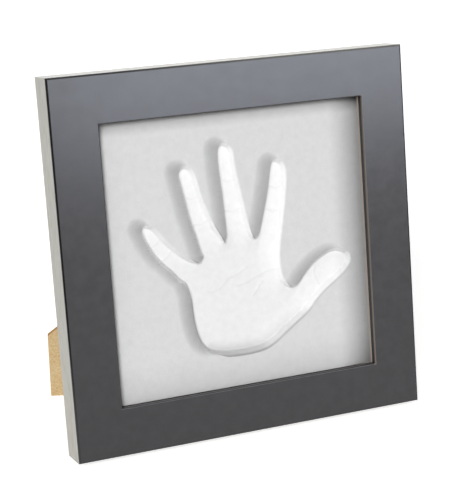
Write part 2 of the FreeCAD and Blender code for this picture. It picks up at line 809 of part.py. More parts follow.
def make_moving_leaf():
    """The leaf riveted to the leg, with two rolled knuckles and a stop tongue between them."""
    label = "hinge_moving_leaf"
    body = new_body(label, open_leg)
    barrel = new_sketch(body, label + "_barrel_lines", "YZ_Plane")
    circle(barrel, "0", "0", "knuckle_radius")
    pad(body, barrel, label + "_barrel", "2 * " + inner_knuckle, midplane=True)
    gap = new_sketch(body, label + "_gap_lines")
    beyond = "(knuckle_radius + cut_overrun)"
    rectangle(gap, "-" + inner_knuckle_start, inner_knuckle_start, "-" + beyond, beyond)
    pocket(body, gap, label + "_gap", "2 * " + beyond, midplane=True)
    strap = new_sketch(body, label + "_strap_lines")
    lift(strap, "bore_radius")
    wide, near_end, axis = outer_knuckle, "(knuckle_radius + leg_top_gap)", "0"
    tongue = "tongue_width / 2"
    polygon(strap, [
        (wide, near_end), (wide, "moving_leaf_length"), ("-" + wide, "moving_leaf_length"),
        ("-" + wide, near_end), ("-" + inner_knuckle, near_end), ("-" + inner_knuckle, axis),
        ("-" + inner_knuckle_start, axis), ("-" + inner_knuckle_start, near_end), ("-" + tongue, near_end),
        ("-" + tongue, "-tongue_reach"), (tongue, "-tongue_reach"), (tongue, near_end),
        (inner_knuckle_start, near_end), (inner_knuckle_start, axis), (inner_knuckle, axis),
        (inner_knuckle, near_end),
    ])
    plate = pad(body, strap, label + "_strap", "knuckle_radius - bore_radius")

    def far_corner(edge):
        return straight_up(edge) and near(edge.Vertexes[0].Point.y, size("moving_leaf_length"))

    rounded(body, plate, label + "_corners", far_corner, "leaf_corner_round")
    bore = new_sketch(body, label + "_bore_lines", "YZ_Plane")
    circle(bore, axis, axis, "bore_radius")
    pocket(body, bore, label + "_bore", "2 * %s + 2 * cut_overrun" % inner_knuckle, midplane=True)
    holes = new_sketch(body, label + "_rivet_hole_lines")
    for side in ("", "-"):
        circle(holes, side + "rivet_spread", "moving_leaf_length - rivet_edge", "rivet_hole_radius")
    pocket(body, holes, label + "_rivet_holes", "2 * (knuckle_radius + cut_overrun)", midplane=True)
    return body


def make_pin():
    """The hinge pin, with a small head at each end."""
    place = hinge.multiply(
        Placement(Vector(0, 0, size("knuckle_radius")), Rotation(Vector(0, 1, 0), 90))
    )
    end = outer_knuckle + " + knuckle_gap"
    head_end = end + " + pin_head_height"
    return turned_profile("hinge_pin", [place], [
        ("0", "-(%s)" % head_end),
        ("pin_head_radius", "-(%s)" % head_end),
        ("pin_head_radius", "-(%s)" % end),
        ("pin_radius", "-(%s)" % end),
        ("pin_radius", end),
        ("pin_head_radius", end),
        ("pin_head_radius", head_end),
        ("0", head_end),
    ])


def rivet_section(seat, back):
    """A rivet's half section: domed head on the leaf, shank, and a tail flared into the board."""
    return [
        ("0", back),
        ("rivet_flare_radius", back),
        ("rivet_flare_radius", back + " + rivet_flare_height"),
        ("rivet_radius", back + " + rivet_flare_height"),
        ("rivet_radius", seat),
        ("rivet_head_radius", seat),
        ("rivet_head_radius * %s" % rivet_crown_share, seat + " + rivet_head_height"),
        ("0", seat + " + rivet_head_height"),
    ]


def make_rivets(label, base, along, seat, back):
    """The rivets of one leaf, side by side across the leg's line."""
    places = [
        base.multiply(Placement(Vector(side * size("rivet_spread"), along, 0), Rotation()))
        for side in (-1, 1)
    ]
    pattern = turned_profile(label + "_pattern", places, rivet_section(seat, back))
    return group_of(label, pattern, places)


def make_easel_leg():
    """The diagonal leg: tapered, with a foot cut both ways so that it stands on either side."""
    label = "easel_leg"
    body = new_body(label, open_leg)
    lines = new_sketch(body, label + "_lines")
    lift(lines, "-pin_to_leg")
    polygon(lines, [
        ("-leg_top_width / 2", "leg_top"), ("leg_top_width / 2", "leg_top"),
        ("foot_half_width", "foot_shoulder"), ("0", "leg_reach"),
        ("-foot_half_width", "foot_shoulder"),
    ])
    board = pad(body, lines, label + "_board", "leg_thickness")

    def top_corner(edge):
        return straight_up(edge) and near(edge.Vertexes[0].Point.y, size("leg_top"))

    rounded(body, board, label + "_top_corners", top_corner, "leg_top_round")
    holes = new_sketch(body, label + "_rivet_hole_lines")
    flares = new_sketch(body, label + "_rivet_flare_lines")
    for side in ("", "-"):
        circle(holes, side + "rivet_spread", "moving_leaf_length - rivet_edge", "rivet_hole_radius")
        circle(flares, side + "rivet_spread", "moving_leaf_length - rivet_edge", "rivet_flare_hole")
    pocket(body, holes, label + "_rivet_holes", "2 * (leg_thickness + cut_overrun)", midplane=True)
    lift(flares, "-pin_to_leg")
    pocket(body, flares, label + "_rivet_flares", "rivet_flare_height + wood_gap", reverse=True)
    return body


def build_all():
    """Every piece, in the order in which the frame is put together."""
    pieces = [make_rail(label, *plan) for label, plan in rail_plan.items()]
    pieces.append(make_corner_nails())
    pieces.append(make_clay_panel())
    pieces.append(make_backing_board())
    for label, (quarter_turns, side) in button_plan.items():
        pieces.append(make_turn_button(label, quarter_turns, side * size("button_spread")))
    pieces.append(make_screws())
    pieces.extend(make_hanger(label, quarter_turns) for label, quarter_turns in hanger_plan.items())
    pieces.append(make_hanger_nails())
    pieces.append(make_fixed_leaf())
    pieces.append(make_pin())
    pieces.append(make_moving_leaf())
    pieces.append(make_easel_leg())
    leaf_line = size("rivet_edge") - size("fixed_leaf_length")
    strap_line = size("moving_leaf_length") - size("rivet_edge")
    pieces.append(
        make_rivets("hinge_board_rivets", hinge, leaf_line, "leaf_thickness", "-board_thickness")
    )
    pieces.append(
        make_rivets("hinge_leg_rivets", open_leg, strap_line, "knuckle_radius", "-pin_to_leg")
    )
    return pieces


def faults():
    """Objects that failed to compute, and pieces that aren't sound solids."""
    found = [item.Label for item in doc.Objects if {"Invalid", "Error"} & set(item.State)]
    found += [piece.Label for piece in pieces if piece.Shape.isNull() or not piece.Shape.isValid()]
    return found


pieces = build_all()
doc.recompute()
if faults():
    raise ValueError("faulty: %s" % ", ".join(faults()))
os.makedirs("parts", exist_ok=True)
for piece in pieces:
    piece.Shape.exportStep("parts/%s.step" % piece.Label)
    print(piece.Label, len(piece.Shape.Solids), round(piece.Shape.Volume, 1))
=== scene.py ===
import json
import math

import bpy
import numpy as np
from mathutils import Matrix, Vector, noise


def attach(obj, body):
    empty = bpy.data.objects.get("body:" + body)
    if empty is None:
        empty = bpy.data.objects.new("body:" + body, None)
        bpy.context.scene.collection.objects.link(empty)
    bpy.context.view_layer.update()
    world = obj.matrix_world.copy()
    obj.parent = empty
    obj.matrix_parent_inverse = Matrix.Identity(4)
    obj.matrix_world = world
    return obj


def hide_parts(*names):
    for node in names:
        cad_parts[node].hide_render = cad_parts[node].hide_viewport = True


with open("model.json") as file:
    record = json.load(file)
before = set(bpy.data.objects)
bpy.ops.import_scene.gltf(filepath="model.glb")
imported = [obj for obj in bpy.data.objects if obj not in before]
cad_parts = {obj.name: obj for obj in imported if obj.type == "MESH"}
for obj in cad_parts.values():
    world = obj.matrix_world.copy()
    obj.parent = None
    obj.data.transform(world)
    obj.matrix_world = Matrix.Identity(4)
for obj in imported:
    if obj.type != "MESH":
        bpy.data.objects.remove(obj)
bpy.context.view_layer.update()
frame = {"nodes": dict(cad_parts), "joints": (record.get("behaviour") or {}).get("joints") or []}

MM = 0.001

# The camera stands in front of the frame's left side and looks down on it.
CAMERA_PLACE = (-366.6 * MM, -873.7 * MM, 447.0 * MM)
CAMERA_HEADING = 23.249
CAMERA_PITCH = 19.866
CAMERA_ROLL = 0.088
CAMERA_LENS = 115.84
SENSOR = 36

# Clay, in the panel's own directions.
LIP_DEPTH = 6.0 * MM
CLAY_SETBACK = 3.0 * MM
CLAY_SIDE_GAP = 0.3 * MM
CLAY_CELLS = 215
# The cells beside the hand's outline are cut finer, from inside it to outside it.
FINE_INSIDE = -1.2 * MM
FINE_OUTSIDE = 3.0 * MM
FINE_CUTS = 2
# How the clay rolls down along each side of the window: the roll's width and its drop, and how
# much painted shade greys the clay there, beside the lip.
ROLLS = {
    "right": (22.0 * MM, 2.9 * MM, 0.58),
    "top": (9.0 * MM, 2.4 * MM, 0.45),
    "left": (16.0 * MM, 0.3 * MM, 0.07),
    "bottom": (24.0 * MM, 0.8 * MM, 0.21),
}
# The painted shade greys the clay along a roll by its share of the way, to this power.
ROLL_PAINTED_SHADE_POWER = 1.2
PRINT_DEPTH = 6.0 * MM
# The floor dips below the rim of the heel. The dip starts at a distance below the panel's middle
# and comes in over the blend.
HEEL_DIP = 2.4 * MM
HEEL_DIP_WIDTH = 9.0 * MM
HEEL_START = 36.0 * MM
HEEL_BLEND = 16.0 * MM
# How much painted shade greys the clay in the heel's dip, and on the soft wall.
HEEL_PAINTED_SHADE = 0.24
WALL_PAINTED_SHADE = 0.26
# A thin line of painted shade follows the rim of the palm, on the left and below. It starts at
# a distance below the panel's middle and comes in over the same blend.
RIM_LINE = 0.9 * MM
RIM_PAINTED_SHADE = 0.36
RIM_START = 14.0 * MM
# The print's wall is steep on the right and below, and a wide soft roll on the left and above.
# Going round a corner of the outline, it turns from one to the other about this radius.
SOFT_SIDE = (-0.95, 0.31)
SOFT_POWER = 1.8
TURN_RADIUS = 3.0 * MM
# Each pair is the steep wall's and the soft wall's: its width, the width of the rounded foot at
# its bottom, and the power of its curve.
WALL_WIDTHS = (1.9 * MM, 12.0 * MM)
FOOT_WIDTHS = (0.9 * MM, 1.6 * MM)
WALL_POWERS = (2.0, 1.5)
# The foot of the soft wall lies this far outside the outline.
SOFT_SHIFT = 0.9 * MM
# The clay is painted whiter from the first to the last of these shares of the depth, a painted
# light that makes the print show brighter. The steep wall, which faces the light, is painted
# white from a lower share than the soft one.
WHITE_FROM = (0.0, 0.86)
WHITE_TO = (0.2, 0.99)
# The floor rises towards the steep wall, by this share of the depth and over this width.
FLOOR_LIFT = 0.45
LIFT_WIDTH = 13.0 * MM
# The skin's creases are fine ridges in the print, and the kneading left wide, low swells.
CREASE_HEIGHT = 0.22 * MM
CREASE_WIDTH = 1.1 * MM
# The creases are also painted greyer by this much, a painted shade.
CREASE_PAINTED_SHADE = 0.07
SWELL_HEIGHT = 0.10 * MM
SWELL_SIZE = 24.0 * MM
CLAY_SMOOTH_ANGLE = 50
# The least square length of a stretch, so that nothing is divided by zero.
TINY_SQUARE = 1e-18

# The floor of the print, point by point round the hand, in millimetres from the panel's middle.
LITTLE_FINGER = [
    (-36.9, -1.0), (-42.5, 3.7), (-48.9, 10.2), (-53.6, 16.2), (-56.6, 19.3), (-59.4, 19.6),
    (-60.1, 17.2), (-58.5, 12.4), (-54.7, 4.4), (-49.5, -2.8), (-43.6, -8.8), (-39.1, -14.2),
]
HEEL = [
    (-35.6, -17.4), (-33.4, -21.7), (-32.0, -27.8), (-31.6, -34.5), (-30.9, -42.2), (-29.3, -50.1),
    (-26.6, -56.4), (-22.6, -60.7), (-14.4, -63.0), (-5.2, -63.6), (3.0, -63.5), (11.0, -62.4),
    (17.7, -59.5), (24.7, -54.6), (32.3, -49.4), (41.2, -43.2),
]
THUMB = [
    (47.0, -36.9), (53.7, -31.4), (61.5, -26.2), (68.0, -21.4), (71.6, -17.0), (71.0, -12.8),
    (67.2, -10.4), (63.2, -10.3), (57.6, -12.3), (50.4, -16.7), (44.2, -22.6), (40.0, -27.4),
    (36.4, -29.2), (32.4, -29.0), (28.4, -26.6), (25.4, -22.6),
]
INDEX_FINGER = [
    (23.9, -17.0), (23.4, -10.3), (24.1, -1.7), (26.2, 9.4), (28.6, 22.4), (30.5, 34.5),
    (31.1, 42.9), (30.4, 47.4), (28.4, 49.9), (26.2, 48.8), (24.8, 43.2), (23.1, 33.9),
    (20.2, 22.9), (17.3, 12.8), (14.8, 6.2),
]
MIDDLE_FINGER = [
    (11.2, 4.5), (7.3, 6.9), (4.1, 15.1), (2.0, 27.6), (-0.2, 39.1), (-2.2, 51.5), (-3.0, 60.0),
    (-5.6, 63.4), (-8.2, 61.0), (-8.5, 52.7), (-7.8, 42.3), (-7.0, 31.9), (-6.5, 22.5),
    (-6.2, 12.1), (-6.6, 7.2),
]
RING_FINGER = [
    (-8.6, 4.6), (-11.2, 6.4), (-17.4, 15.1), (-21.6, 25.0), (-24.8, 34.7), (-27.3, 45.1),
    (-28.9, 50.2), (-31.4, 52.5), (-34.3, 49.4), (-33.1, 41.6), (-31.0, 31.1), (-28.9, 20.6),
    (-26.2, 10.9), (-23.9, 1.2), (-22.6, -3.4), (-25.5, -5.9), (-30.6, -4.8),
]
HAND = LITTLE_FINGER + HEEL + THUMB + INDEX_FINGER + MIDDLE_FINGER + RING_FINGER
# Skin creases, each a short line of points: those of the fingers, the thumb's and the palm's.
CREASES = [
    [(-7.5, 24.0), (-2.5, 22.6), (2.5, 24.8)],
    [(-8.3, 42.5), (-4.0, 41.4), (-0.4, 42.8)],
    [(-28.2, 17.5), (-23.6, 17.4), (-18.2, 20.6)],
    [(-31.6, 34.5), (-28.2, 33.6), (-24.6, 35.0)],
    [(19.6, 21.5), (24.0, 19.6), (28.4, 20.8)],
    [(23.0, 35.2), (26.8, 34.0), (30.4, 35.0)],
    [(-50.0, -1.6), (-46.0, 0.8), (-43.6, 4.6)],
    [(-55.6, 8.0), (-52.6, 9.2), (-50.6, 12.0)],
    [(52.0, -30.0), (49.6, -25.0), (50.4, -18.4)],
    [(-2.9, -23.7), (3.0, -22.6), (9.9, -20.0), (16.9, -17.1), (26.1, -15.7)],
    [(-21.2, -24.9), (-14.6, -24.2), (-7.5, -17.9), (-1.5, -16.2), (4.7, -12.7)],
    [(8.1, -30.9), (11.1, -27.1), (14.3, -22.8)],
]

# Screws through the turn buttons.
SCREW_HEAD_RADIUS = 2.9 * MM
SCREW_HEAD_HEIGHT = 1.7 * MM
SCREW_SHANK_RADIUS = 1.4 * MM
SCREW_LENGTH = 11.0 * MM
SCREW_SIDES = 40
RECESS_LENGTH = 3.3 * MM
RECESS_WIDTH = 0.75 * MM
RECESS_DEPTH = 1.1 * MM
# The recess narrows to this share at its floor.
RECESS_TAPER = 0.7
HEAD_ROUND = 0.75 * MM
HEAD_ROUND_STEPS = 5
SCREW_SMOOTH_ANGLE = 35
# How the recesses stand, in degrees: the first one's turn, and how much further each next one is.
FIRST_TURN = 23
NEXT_TURN = 31

# Paint on the rails. The face's black ends on the outer round, in a line that wavers a little.
OUTER_ROUND = 1.2 * MM
PAINT_LINE_WOBBLE = 0.10 * MM
# The outer arris is painted darker over this width, a painted dark reflection.
DARK_ARRIS = 1.1 * MM
# The top arris is painted paler towards the right, a painted highlight.
TOP_HIGHLIGHT_FROM = -70.0 * MM
TOP_HIGHLIGHT_TO = 40.0 * MM
# The window's wall is bare up to this height above the back of the lip, and that bare wood is
# painted greyer, partly as painted shade.
BARE_WALL = 1.9 * MM
# The window's round; on the right side it is painted paler, a painted highlight.
WINDOW_ROUND = 0.8 * MM
# What lies this near to a side or to the back counts as part of it.
THIN = 0.2 * MM
GLOSS_ROUGHNESS = (0.20, 0.24)
UNLACQUERED_ROUGHER = 0.25
# How far the wood's fibres and the marks of the brush are drawn out.
FIBRE_STRETCH = 14
BRUSH_STRETCH = 9

# How strong the clay's kneading marks are beside its tooth, and the fibreboard's clouds beside
# its fibres.
KNEAD_SHARE = 2.0
CLOUD_SHARE = 0.2
# A fibreboard's side that faces away from its flat sides by this cosine or less is a sawn edge.
SAWN_FACING = 0.7
# The sockets of a Mix node that are for colours.
MIX_A, MIX_B, MIX_RESULT = 6, 7, 2

# Lights. Each direction is in degrees, to the right of the front and up from the table.
KEY_DIRECTION = (-39, 24)
KEY_STRENGTH = 2.85
KEY_SPREAD = 34
REFLECTOR_DIRECTION = (28, 13.5)
REFLECTOR_WATTS = 9.6
REFLECTOR_COLOUR = "#E9F0FF"
REFLECTOR_WIDTH = 1.0
REFLECTOR_HEIGHT = 0.45
REFLECTOR_DISTANCE = 1.6
BACK_DIRECTION = (162, 12)
BACK_STRENGTH = 1.0
BACK_SPREAD = 50
FILL_STRENGTH = 0.32
# The table top, and how brightly the camera and glossy surfaces see it beyond its own light.
TABLE_SIZE = 8
TABLE_GLOW = 0.60
# The black cards: each one's place to the right, its back end and its length.
CARDS = {"flag_right": (0.36, 0.25, 0.50), "flag_left": (-0.36, 0.05, 0.70)}
CARD_HEIGHT = 0.5

# The panel's own directions: right along the face, up the leaning face, and out of its front.
joints = {joint["name"]: joint for joint in frame["joints"]}
right = Vector((1, 0, 0))
out = -Vector(joints["turn_button_bottom_turn"]["axis"]).normalized()
up = out.cross(right)


def reach(node_name, along):
    """How far a CAD node goes along a direction, lowest and highest."""
    places = [vertex.co.dot(along) for vertex in frame["nodes"][node_name].data.vertices]
    return min(places), max(places)


def turned_to(facing, axis="Z"):
    """The turn that points an axis along a direction."""
    return facing.to_track_quat(axis, "Y").to_matrix().to_4x4()


back_place, face_place = reach("rail_top", out)
bottom_place, top_place = reach("rail_bottom", up)[0], reach("rail_top", up)[1]
half_size = reach("rail_right", right)[1]
window_half = -reach("rail_left", right)[1]
slab_half = reach("clay_panel", right)[1]
frame_depth = face_place - back_place
board_top = reach("backing_board", out)[1] - back_place
lip_back = frame_depth - LIP_DEPTH
clay_top = frame_depth - CLAY_SETBACK
panel_middle = up * (bottom_place + top_place) / 2 + out * back_place
panel = Matrix.Translation(panel_middle) @ Matrix((right, up, out)).transposed().to_4x4()


# Shader helpers

def linear(hex_colour):
    """An sRGB hex colour as linear red, green, blue and alpha."""
    parts = [int(hex_colour[place:place + 2], 16) / 255 for place in (1, 3, 5)]
    return [
        part / 12.92 if part <= 0.04045 else ((part + 0.055) / 1.055) ** 2.4 for part in parts
    ] + [1]


def per_metre(millimetres):
    """The texture scale at which one cell of a pattern is that many millimetres wide."""
    return 1 / (millimetres * MM)


def add(tree, kind, inputs=None, stops=(), **settings):
    """Add one node. Its inputs are numbers, hex colours, other nodes or their sockets, and a
    colour ramp also gets its stops."""
    made = tree.nodes.new("ShaderNode" + kind)
    for name, value in settings.items():
        setattr(made, name, value)
    for count, (place, colour) in enumerate(stops):
        points = made.color_ramp.elements
        point = points[count] if count < len(points) else points.new(place)
        point.position = place
        point.color = linear(colour)
    for socket, value in (inputs or {}).items():
        if isinstance(value, bpy.types.Node):
            value = value.outputs[0]
        if isinstance(value, bpy.types.NodeSocket):
            tree.links.new(value, made.inputs[socket])
        else:
            made.inputs[socket].default_value = linear(value) if isinstance(value, str) else value
    return made


def empty_tree(owner):
    """The node tree of a material or a world, with nothing in it."""
    owner.use_nodes = True
    owner.node_tree.nodes.clear()
    return owner.node_tree


def new_material(name, **shader):
    """A material with one Principled shader, whose constant inputs are given by name."""
    material = bpy.data.materials.new(name)
    tree = empty_tree(material)
    inputs = {key.replace("_", " "): value for key, value in shader.items()}
    surface = add(tree, "BsdfPrincipled", inputs)
    add(tree, "OutputMaterial", {"Surface": surface})
    return material, tree, surface


def finish_surface(tree, surface, colour, rough, relief, depth_mm):
    """Give the shader its colour and roughness, and a relief of that many millimetres."""
    bump = add(tree, "Bump", {"Height": relief, "Distance": depth_mm * MM, "Strength": 1.0})
    for socket, source in (("Base Color", colour), ("Roughness", rough), ("Normal", bump.outputs[0])):
        tree.links.new(source, surface.inputs[socket])


def place_on_panel(tree, stretch=(1, 1, 1)):
    """The place on the panel, in metres, drawn out along the panel's directions by a stretch."""
    place = add(tree, "TexCoord").outputs["Object"]
    turned = add(tree, "Mapping", {
        "Vector": place,
        "Location": panel.to_translation(),
        "Rotation": panel.to_euler(),
    }, vector_type="TEXTURE")
    return add(tree, "Mapping", {"Vector": turned, "Scale": [1 / share for share in stretch]})


# Materials

def satin_lacquer_on_wood(name, along):
    """A mitred rail. Black satin lacquer was rolled on its face and gives a blurred, faintly
    rippled reflection. Its outer arris is painted darker, a painted dark reflection, and its top
    arris paler towards the right, a painted highlight; a paler brown line on the window's right
    arris is a painted highlight too. The outer sides have champagne grey paint, and the back is
    bare wood. A line of wall beside the clay is bare wood painted greyer, partly as painted shade."""
    material, tree, surface = new_material(name, IOR=1.5)
    place = place_on_panel(tree)
    axes = add(tree, "SeparateXYZ", {0: place}).outputs
    ripple = add(tree, "TexNoise", {"Vector": place, "Scale": per_metre(6), "Detail": 3})
    wobble = add(tree, "Math", {0: ripple, 1: PAINT_LINE_WOBBLE}, operation="MULTIPLY")
    height = add(tree, "Math", {0: axes[2], 1: wobble}, operation="ADD")
    across = add(tree, "Math", {0: axes[0]}, operation="ABSOLUTE")
    upright = add(tree, "Math", {0: axes[1]}, operation="ABSOLUTE")
    spread = add(tree, "Math", {0: across, 1: upright}, operation="MAXIMUM")

    # Where each finish or painted light lies: 1 on it and 0 elsewhere.
    at_side = add(tree, "Math", {0: spread, 1: half_size - THIN}, operation="GREATER_THAN")
    below = add(tree, "Math", {0: height, 1: frame_depth - OUTER_ROUND}, operation="LESS_THAN")
    side = add(tree, "Math", {0: at_side, 1: below}, operation="MULTIPLY")
    at_back = add(tree, "Math", {0: height, 1: THIN}, operation="LESS_THAN")
    # The bare wall beside the clay is bare wood painted greyer, partly as painted shade.
    by_clay = add(tree, "Math", {0: height, 1: lip_back + BARE_WALL}, operation="LESS_THAN")
    bare_wall_and_painted_shade = add(tree, "Math", {0: at_side, 1: by_clay}, operation="LESS_THAN")
    bare = add(tree, "Math", {0: at_back, 1: bare_wall_and_painted_shade}, operation="MAXIMUM")
    # The outer arris is painted darker, a painted dark reflection.
    past_arris = half_size - DARK_ARRIS
    outer_arris_painted_reflection = add(tree, "Math", {0: spread, 1: past_arris}, operation="GREATER_THAN")
    # The top arris is painted paler towards the right, a painted highlight.
    on_top = add(tree, "Math", {0: axes[1], 1: past_arris}, operation="GREATER_THAN")
    to_right = add(tree, "MapRange", {
        "Value": axes[0], "From Min": TOP_HIGHLIGHT_FROM, "From Max": TOP_HIGHLIGHT_TO,
    })
    top_arris_painted_highlight = add(tree, "Math", {0: on_top, 1: to_right}, operation="MULTIPLY")
    # The window's right arris is painted a paler brown, a painted highlight.
    near_window = add(tree, "Math", {
        0: axes[0], 1: window_half, 2: WINDOW_ROUND,
    }, operation="COMPARE")
    within = add(tree, "Math", {0: spread, 1: window_half + WINDOW_ROUND}, operation="LESS_THAN")
    high = add(tree, "Math", {0: height, 1: frame_depth - WINDOW_ROUND}, operation="GREATER_THAN")
    window_arris_painted_highlight = add(tree, "Math", {0: near_window, 1: within}, operation="MULTIPLY")
    window_arris_painted_highlight = add(tree, "Math", {0: window_arris_painted_highlight, 1: high}, operation="MULTIPLY")

    along_grain = (FIBRE_STRETCH, 1, 1) if along == "x" else (1, FIBRE_STRETCH, 1)
    fibres = place_on_panel(tree, along_grain)
    grain = add(tree, "TexNoise", {
        "Vector": fibres, "Scale": per_metre(1.6), "Detail": 6, "Roughness": 0.62,
    })
    wood = add(tree, "ValToRGB", {0: grain}, stops=[
        (0.30, "#B08A5C"), (0.50, "#CDAE82"), (0.70, "#DCC39B"),
    ])
    brushed = add(tree, "TexNoise", {
        "Vector": place_on_panel(tree, (BRUSH_STRETCH, BRUSH_STRETCH, 1)),
        "Scale": per_metre(1.2), "Detail": 5,
    })
    champagne = add(tree, "ValToRGB", {0: brushed}, stops=[
        (0.30, "#9D9B92"), (0.50, "#AAA8A0"), (0.70, "#B3B2AB"),
    ])
    black = add(tree, "ValToRGB", {0: ripple}, stops=[(0.35, "#282729"), (0.65, "#2D2B2D")])

    # Each of these layers lies over those before it. The darker arris is a painted dark
    # reflection, the paler top and window arrises are painted highlights, and the bare wall's grey
    # is partly painted shade.
    colour = black
    for share, layer in (
        (outer_arris_painted_reflection, "#151516"), (top_arris_painted_highlight, "#5A5A55"), (side, champagne), (bare_wall_and_painted_shade, "#9F948A"),
        (at_back, wood), (window_arris_painted_highlight, "#5C554E"),
    ):
        mixed = add(tree, "Mix", {
            "Factor": share, MIX_A: colour, MIX_B: layer,
        }, data_type="RGBA")
        colour = mixed.outputs[MIX_RESULT]

    gloss = add(tree, "MapRange", {
        "Value": ripple, "From Min": 0.3, "From Max": 0.7,
        "To Min": GLOSS_ROUGHNESS[0], "To Max": GLOSS_ROUGHNESS[1],
    })
    unlacquered = add(tree, "Math", {0: side, 1: bare}, operation="MAXIMUM")
    rough = add(tree, "Math", {
        0: unlacquered, 1: UNLACQUERED_ROUGHER, 2: gloss,
    }, operation="MULTIPLY_ADD")
    finish_surface(tree, surface, colour, rough.outputs[0], ripple, depth_mm=0.012)
    return material


def air_dried_clay():
    """Hand-kneaded white air-dry clay: matt, with a fine tooth and soft swells. It is less rough
    where the hand pressed it. Painted light makes the print's floor and steep wall whiter, and
    painted shade makes the clay greyer at the palm's rim, in the heel's dip, on the soft wall,
    along the creases and where it rolls away beside the lip."""
    material, tree, surface = new_material("air_dried_clay", IOR=1.45, Specular_IOR_Level=0.3)
    place = place_on_panel(tree)
    # The pressed attribute carries painted light and the print's lower roughness; rolled carries
    # painted shade.
    pressed = add(tree, "Attribute", attribute_name="pressed").outputs["Fac"]
    rolled = add(tree, "Attribute", attribute_name="rolled").outputs["Fac"]
    # Painted light: the clay goes from its own grey to a painted white on the print.
    smooth = add(tree, "ValToRGB", {0: pressed}, stops=[
        (0.0, "#D3D3D3"), (1.0, "#E5E5E5"),
    ])
    # Painted shade: the clay greys towards dark grey where rolled is high.
    tone = add(tree, "Mix", {
        "Factor": rolled, MIX_A: smooth, MIX_B: "#3C3C3B",
    }, data_type="RGBA").outputs[MIX_RESULT]
    cloud = add(tree, "TexNoise", {"Vector": place, "Scale": per_metre(4), "Detail": 5})
    mottle = add(tree, "ValToRGB", {0: cloud}, stops=[(0.30, "#F9F9F9"), (0.70, "#FFFFFF")])
    colour = add(tree, "Mix", {
        "Factor": 1.0, MIX_A: tone, MIX_B: mottle,
    }, data_type="RGBA", blend_type="MULTIPLY").outputs[MIX_RESULT]
    rough = add(tree, "MapRange", {"Value": pressed, "To Min": 0.92, "To Max": 0.78})
    tooth = add(tree, "TexNoise", {"Vector": place, "Scale": per_metre(1.1), "Detail": 4})
    knead = add(tree, "TexNoise", {"Vector": place, "Scale": per_metre(5), "Detail": 3})
    relief = add(tree, "Math", {0: knead, 1: KNEAD_SHARE, 2: tooth}, operation="MULTIPLY_ADD")
    finish_surface(tree, surface, colour, rough.outputs[0], relief, depth_mm=0.08)
    return material


def raw_fibreboard(name, flat_normal):
    """Pressed wood fibre: tan, speckled with short fibres, smooth on its faces, and darker and
    rougher on its sawn edges."""
    material, tree, surface = new_material(name, IOR=1.45, Specular_IOR_Level=0.25)
    coordinates = add(tree, "TexCoord").outputs
    place = coordinates["Object"]
    fibres = add(tree, "TexNoise", {
        "Vector": place, "Scale": per_metre(1.1), "Detail": 6, "Roughness": 0.7,
    })
    cloud = add(tree, "TexNoise", {"Vector": place, "Scale": per_metre(14), "Detail": 3})
    mixed = add(tree, "Math", {0: cloud, 1: CLOUD_SHARE, 2: fibres}, operation="MULTIPLY_ADD")
    tan = add(tree, "ValToRGB", {0: mixed}, stops=[
        (0.42, "#B09168"), (0.55, "#BEA47A"), (0.65, "#C6B189"), (0.78, "#CCBC9B"),
    ])
    sawn = add(tree, "ValToRGB", {0: fibres}, stops=[(0.35, "#96723F"), (0.65, "#B58F5C")])
    facing = add(tree, "VectorMath", {
        0: coordinates["Normal"], 1: flat_normal,
    }, operation="DOT_PRODUCT").outputs["Value"]
    flatness = add(tree, "Math", {0: facing}, operation="ABSOLUTE")
    edge = add(tree, "Math", {0: flatness, 1: SAWN_FACING}, operation="LESS_THAN")
    colour = add(tree, "Mix", {
        "Factor": edge, MIX_A: tan, MIX_B: sawn,
    }, data_type="RGBA").outputs[MIX_RESULT]
    rough = add(tree, "MapRange", {"Value": edge, "To Min": 0.62, "To Max": 0.88})
    finish_surface(tree, surface, colour, rough.outputs[0], fibres, depth_mm=0.05)
    return material


def zinc_plated_steel():
    """Stamped steel with a bright zinc coat: cool grey metal with faint cloudy spangles."""
    material, tree, surface = new_material("zinc_plated_steel", Metallic=1.0)
    place = add(tree, "TexCoord").outputs["Object"]
    cells = add(tree, "TexVoronoi", {"Vector": place, "Scale": per_metre(2.5)})
    cloud = add(tree, "TexNoise", {"Vector": place, "Scale": per_metre(3), "Detail": 4})
    base = add(tree, "ValToRGB", {0: cloud}, stops=[(0.30, "#B4B8BD"), (0.70, "#D3D6DA")])
    spangles = add(tree, "ValToRGB", {0: cells.outputs["Color"]}, stops=[
        (0.20, "#EAEBED"), (0.80, "#FFFFFF"),
    ])
    colour = add(tree, "Mix", {
        "Factor": 1.0, MIX_A: base, MIX_B: spangles,
    }, data_type="RGBA", blend_type="MULTIPLY").outputs[MIX_RESULT]
    rough = add(tree, "MapRange", {"Value": cloud, "To Min": 0.26, "To Max": 0.46})
    finish_surface(tree, surface, colour, rough.outputs[0], cloud, depth_mm=0.003)
    return material


def brass_plated_steel():
    """Stamped steel with a thin brass coat: warm yellow metal, a little dulled in patches."""
    material, tree, surface = new_material("brass_plated_steel", Metallic=1.0)
    place = add(tree, "TexCoord").outputs["Object"]
    cloud = add(tree, "TexNoise", {"Vector": place, "Scale": per_metre(2.6), "Detail": 5})
    tone = add(tree, "ValToRGB", {0: cloud}, stops=[
        (0.28, "#B39254"), (0.50, "#C4A567"), (0.72, "#D0B47C"),
    ])
    rough = add(tree, "MapRange", {"Value": cloud, "To Min": 0.26, "To Max": 0.40})
    finish_surface(tree, surface, tone.outputs[0], rough.outputs[0], cloud, depth_mm=0.003)
    return material


def wear(node_name, material):
    """Give a CAD node its material."""
    materials = frame["nodes"][node_name].data.materials
    materials.clear()
    materials.append(material)


def flat_side(node_name):
    """The normal of a CAD node's largest flat side."""
    faces = frame["nodes"][node_name].data.polygons
    return max(faces, key=lambda face: face.area).normal.copy()


# Modelling helpers

